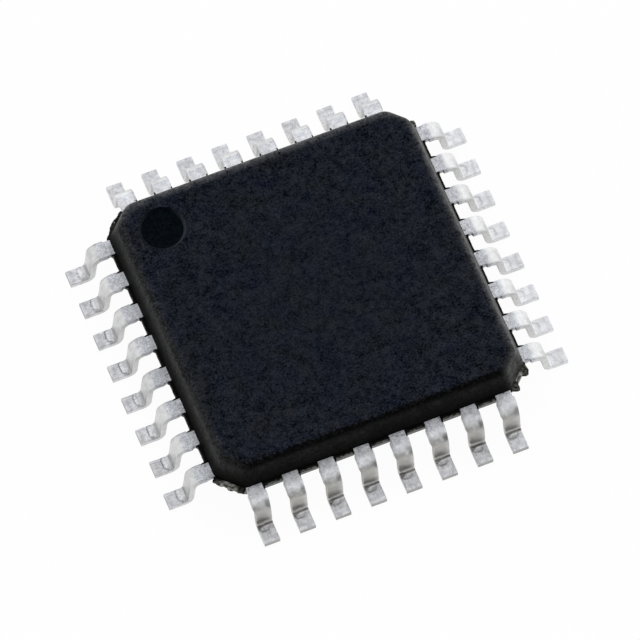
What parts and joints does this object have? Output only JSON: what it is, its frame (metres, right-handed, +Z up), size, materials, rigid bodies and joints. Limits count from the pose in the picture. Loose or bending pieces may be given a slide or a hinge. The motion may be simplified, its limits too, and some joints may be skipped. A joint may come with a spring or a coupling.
{
  "type": "quad flat package microcontroller chip",
  "caption": "Square black moulded microcontroller chip with an index recess, cut corners and a row of gull-wing leads along each side for surface soldering.",
  "frame": {"origin": "on the plane of the feet, under the middle of the body", "axes": "+Z up from the board through the top of the body; the index recess and the first lead are at the -X, +Y corner, and the leads count anticlockwise seen from above"},
  "size_m": [0.009, 0.009, 0.0015],
  "materials": {
    "moulding": "matt mould compound",
    "lead": "matt tin plating",
    "lead_frame": "bare copper alloy",
    "adhesive": "silver-filled epoxy",
    "silicon": "polished silicon",
    "bond_wire": "bright gold wire"
  },
  "bodies": {
    "root": {"package_body": "moulding", "die_pad": "lead_frame", "die_attach": "adhesive", "die": "silicon", "bond_wires": "bond_wire", "lead_01": "lead", "lead_02": "lead", "lead_03": "lead", "lead_04": "lead", "lead_05": "lead", "lead_06": "lead", "lead_07": "lead", "lead_08": "lead", "lead_09": "lead", "lead_10": "lead", "lead_11": "lead", "lead_12": "lead", "lead_13": "lead", "lead_14": "lead", "lead_15": "lead", "lead_16": "lead", "lead_17": "lead", "lead_18": "lead", "lead_19": "lead", "lead_20": "lead", "lead_21": "lead", "lead_22": "lead", "lead_23": "lead", "lead_24": "lead", "lead_25": "lead", "lead_26": "lead", "lead_27": "lead", "lead_28": "lead", "lead_29": "lead", "lead_30": "lead", "lead_31": "lead", "lead_32": "lead"}
  },
  "joints": []
}
